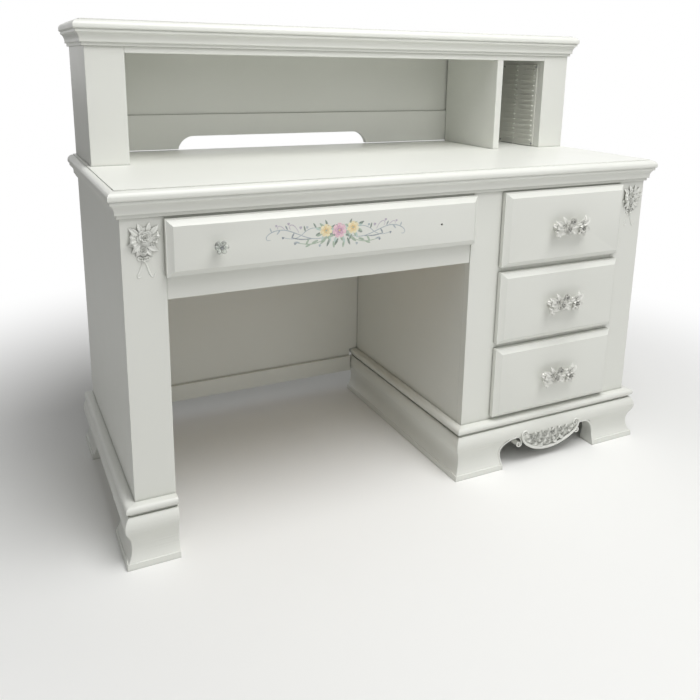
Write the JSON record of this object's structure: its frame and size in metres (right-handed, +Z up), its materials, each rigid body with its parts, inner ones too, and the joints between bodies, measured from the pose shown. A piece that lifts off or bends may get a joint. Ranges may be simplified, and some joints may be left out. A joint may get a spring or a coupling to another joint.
{
  "type": "computer desk",
  "caption": "Single-pedestal computer desk with bracket feet, kneehole, shallow centre drawer, rose-spray pulls and a low hutch with a cable cut-out and disc racks.",
  "frame": {"origin": "centre of the desk's outline at floor level, midway between the back edge and the foremost point of the pulls", "axes": "+X to the right as seen by the person at the desk, along its length; +Y to the back; +Z up"},
  "size_m": [1.36, 0.624, 1.07],
  "materials": {
    "lacquered_wood": "ivory satin lacquer over solid wood and board",
    "painted_carving": "carved ornament under the same ivory lacquer, greyer in the hollows",
    "drawer_wood": "plain sanded light wood under clear sealer",
    "cast_zinc": "cast zinc alloy, antique silver with a white wash and dark recesses",
    "knob_glass": "pressed clear glass, pearly",
    "steel": "plated steel",
    "rack_plastic": "moulded ivory plastic"
  },
  "bodies": {
    "carcass": {"apron_carving": "painted_carving", "base_back_boards": "lacquered_wood", "base_bead": "lacquered_wood", "centre_drawer_runners": "drawer_wood", "cornice": "lacquered_wood", "desk_top": "lacquered_wood", "disc_racks": "rack_plastic", "drawer_rails": "lacquered_wood", "foot_blocks": "drawer_wood", "hutch_back_panel": "lacquered_wood", "hutch_back_rail": "lacquered_wood", "hutch_cornice": "lacquered_wood", "hutch_divider": "lacquered_wood", "hutch_inner_walls": "lacquered_wood", "hutch_left_side": "lacquered_wood", "hutch_left_stile": "lacquered_wood", "hutch_right_side": "lacquered_wood", "hutch_right_stile": "lacquered_wood", "hutch_top": "lacquered_wood", "hutch_top_rail": "lacquered_wood", "kneehole_back": "lacquered_wood", "kneehole_rail": "lacquered_wood", "left_base_front": "lacquered_wood", "left_base_side": "lacquered_wood", "left_end_panel": "lacquered_wood", "left_inner_panel": "lacquered_wood", "left_stile": "lacquered_wood", "modesty_rail": "lacquered_wood", "pedestal_back": "lacquered_wood", "pedestal_base_front": "lacquered_wood", "pedestal_base_inner": "lacquered_wood", "pedestal_base_side": "lacquered_wood", "pedestal_bottom": "lacquered_wood", "pedestal_inner_panel": "lacquered_wood", "pedestal_left_stile": "lacquered_wood", "rack_screws": "steel", "right_end_panel": "lacquered_wood", "right_stile": "lacquered_wood", "side_drawer_runners": "drawer_wood", "stile_carvings": "painted_carving", "top_rails": "lacquered_wood"},
    "centre_drawer": {"centre_drawer_bottom": "drawer_wood", "centre_drawer_box": "drawer_wood", "centre_drawer_front": "lacquered_wood", "knob": "knob_glass", "knob_screw": "steel"},
    "top_drawer": {"top_drawer_bottom": "drawer_wood", "top_drawer_box": "drawer_wood", "top_drawer_front": "lacquered_wood", "top_drawer_pull": "cast_zinc"},
    "middle_drawer": {"middle_drawer_bottom": "drawer_wood", "middle_drawer_box": "drawer_wood", "middle_drawer_front": "lacquered_wood", "middle_drawer_pull": "cast_zinc"},
    "bottom_drawer": {"bottom_drawer_bottom": "drawer_wood", "bottom_drawer_box": "drawer_wood", "bottom_drawer_front": "lacquered_wood", "bottom_drawer_pull": "cast_zinc"}
  },
  "joints": [
    {"name": "centre_drawer_slide", "type": "slide", "parent": "carcass", "child": "centre_drawer", "axis": [0, -1, 0], "range_m": [0, 0.32]},
    {"name": "top_drawer_slide", "type": "slide", "parent": "carcass", "child": "top_drawer", "axis": [0, -1, 0], "range_m": [0, 0.38]},
    {"name": "middle_drawer_slide", "type": "slide", "parent": "carcass", "child": "middle_drawer", "axis": [0, -1, 0], "range_m": [0, 0.38]},
    {"name": "bottom_drawer_slide", "type": "slide", "parent": "carcass", "child": "bottom_drawer", "axis": [0, -1, 0], "range_m": [0, 0.38]}
  ]
}
